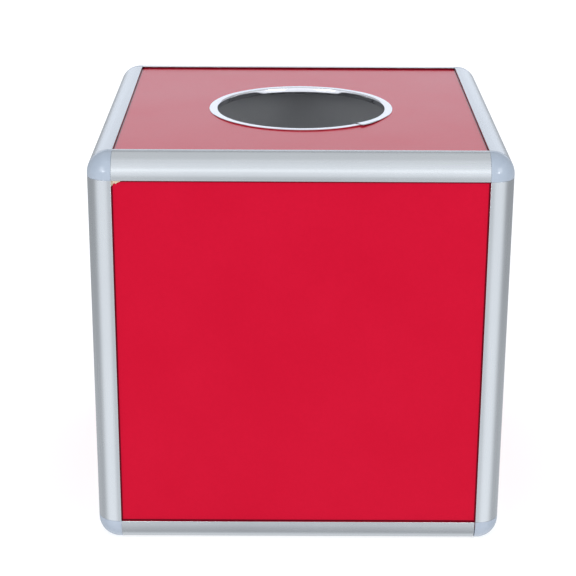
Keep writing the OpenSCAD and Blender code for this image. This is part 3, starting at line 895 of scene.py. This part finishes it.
RAILS = sorted(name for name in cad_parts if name.endswith(("_rail", "_post")))
CORNERS = sorted(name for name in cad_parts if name.endswith("_corner"))
for name in RAILS:
    edge_rail(name)
for name in CORNERS:
    softened_copy(name, name + "_connector", MOULDED_EDGE, CONNECTOR, "box")
all_boards()
hole_strip()
for name in ("upper_door_stop", "lower_door_stop", "latch_door_stop"):
    softened_copy(name, name + "_strip", STOP_EDGE, STOP, "box")
for level in ("upper", "lower"):
    for part, body in (("fixed_leaf", "box"), ("door_leaf", "door"), ("pin", "box")):
        node = f"{level}_hinge_{part}"
        softened_copy(node, node + "_plated", PLATED_EDGE, ZINC, body)
hardware()
lock_barrel()
door_key()
softened_copy("lock_cam", "lock_cam_plated", CAM_EDGE, NICKEL, "lock")
softened_copy("cam_washer", "cam_washer_plated", PLATED_EDGE, ZINC, "lock")
softened_copy("lock_plug", "lock_plug_turned", PLATED_EDGE, BRASS, "lock")


# ---------------------------------------------------------------- floor, light and camera
def pale_floor():
    """A wide pale floor with a glow of its own, which keeps the shadows on it light."""
    mesh = bpy.data.meshes.new("floor")
    half = 6.0
    corners = [(-half, -half, 0), (half, -half, 0), (half, half, 0), (-half, half, 0)]
    mesh.from_pydata(corners, [], [(0, 1, 2, 3)])
    floor = bpy.data.objects.new("floor", mesh)
    bpy.context.scene.collection.objects.link(floor)
    f = Finish("pale_floor", (0.60, 0.60, 0.60), Roughness=0.8, Specular_IOR_Level=0.1)
    f.shader.inputs["Emission Color"].default_value = (1.0, 1.0, 1.0, 1.0)
    f.shader.inputs["Emission Strength"].default_value = 0.62
    mesh.materials.append(f.material)
    floor.visible_glossy = False      # bright metal mirrors the studio's soft light, not the floor


def studio_surround():
    """Soft light from all round: brighter in front, with a weak glow near the floor and beneath."""
    world = bpy.data.worlds.new("studio")
    bpy.context.scene.world = world
    world.use_nodes = True
    nodes, links = world.node_tree.nodes, world.node_tree.links
    towards = nodes.new("ShaderNodeSeparateXYZ")
    links.new(nodes.new("ShaderNodeTexCoord").outputs["Generated"], towards.inputs[0])

    def rise(axis, start, end, low, high):
        part = nodes.new("ShaderNodeMapRange")
        part.interpolation_type = "SMOOTHSTEP"
        links.new(towards.outputs[axis], part.inputs["Value"])
        for socket, value in zip(("From Min", "From Max", "To Min", "To Max"), (start, end, low, high)):
            part.inputs[socket].default_value = value
        return part.outputs["Result"]

    def combine(operation, first, second):
        part = nodes.new("ShaderNodeMath")
        part.operation = operation
        links.new(first, part.inputs[0])
        links.new(second, part.inputs[1])
        return part.outputs[0]

    sideways = combine("MAXIMUM", rise("X", 0.02, 0.3, 0.1, 1.0), rise("X", -0.02, -0.3, 0.1, 1.0))
    spread = combine("MAXIMUM", sideways, rise("Z", -0.3, 0.0, 0.0, 1.0))
    front = combine("MULTIPLY", rise("Y", -0.02, -0.55, 0.0, 0.62), spread)
    near_floor = combine("MULTIPLY", rise("Z", -0.30, -0.42, 0.0, 0.20), rise("Z", -0.45, -0.80, 1.0, 0.1))
    beneath = combine("MULTIPLY", rise("Y", -0.25, 0.25, 0.0, 0.45), rise("Z", -0.60, -0.90, 0.0, 1.0))
    low_down = combine("ADD", near_floor, beneath)
    all_round = rise("Z", 0.1, -0.25, 0.46, 0.47)
    strength = combine("ADD", front, combine("ADD", low_down, all_round))
    background = nodes["Background"]
    background.inputs["Color"].default_value = (0.955, 0.995, 1.05, 1.0)
    links.new(strength, background.inputs["Strength"])


def softbox(name, place, size, power, colour=(0.97, 1.0, 1.03)):
    """A soft rectangular lamp of so many watts, aimed at the box and hidden from the camera."""
    lamp = bpy.data.lights.new(name, "AREA")
    lamp.shape = "RECTANGLE"
    lamp.size, lamp.size_y = size
    lamp.energy = power
    lamp.color = colour
    box = bpy.data.objects.new(name, lamp)
    bpy.context.scene.collection.objects.link(box)
    box.location = place
    middle = Vector((0.0, 0.0, BODY_HI.z / 2))
    box.rotation_euler = (middle - Vector(place)).to_track_quat("-Z", "Y").to_euler()
    box.visible_camera = False


def camera(place, turn, down, roll, lens_mm):
    """Turn is to the right of +Y, down is below the horizon, roll is clockwise, all in degrees.
    The lens is for a sensor 36 mm wide."""
    lens = bpy.data.cameras.new("camera")
    lens.sensor_width = 36.0
    lens.lens = lens_mm
    made = bpy.data.objects.new("camera", lens)
    bpy.context.scene.collection.objects.link(made)
    turn, down, roll = (math.radians(a) for a in (turn, down, roll))
    ahead = Vector((math.sin(turn) * math.cos(down), math.cos(turn) * math.cos(down), -math.sin(down)))
    level = Vector((math.cos(turn), -math.sin(turn), 0.0))
    up = level.cross(ahead)
    right = level * math.cos(roll) + up * math.sin(roll)
    upright = up * math.cos(roll) - level * math.sin(roll)
    made.matrix_world = Matrix.Translation(place) @ Matrix((right, upright, -ahead)).transposed().to_4x4()
    bpy.context.scene.camera = made


pale_floor()
studio_surround()
softbox("overhead", (0.0, 0.45, 2.3), (2.8, 2.8), 9.0)
softbox("front_fill", (0.0, -2.2, 1.25), (1.4, 0.5), 0.85)
softbox("left_key", (-1.25, -1.45, 1.08), (0.65, 0.8), 4.2)
softbox("right_key", (1.25, -1.45, 1.08), (0.65, 0.8), 4.2)
softbox("left_low", (-1.0, -1.8, 0.84), (0.4, 0.3), 3.1)
softbox("right_low", (1.0, -1.8, 0.84), (0.4, 0.3), 3.1)
softbox("back_wash", (0.0, 2.6, 0.8), (3.4, 1.2), 8.4, (0.90, 0.98, 1.12))
camera(Vector((-0.0106, -1.285, 0.6154)), 0.10, 19.94, 0.27, 106.4625)
view = bpy.context.scene.view_settings
view.view_transform = "Standard"
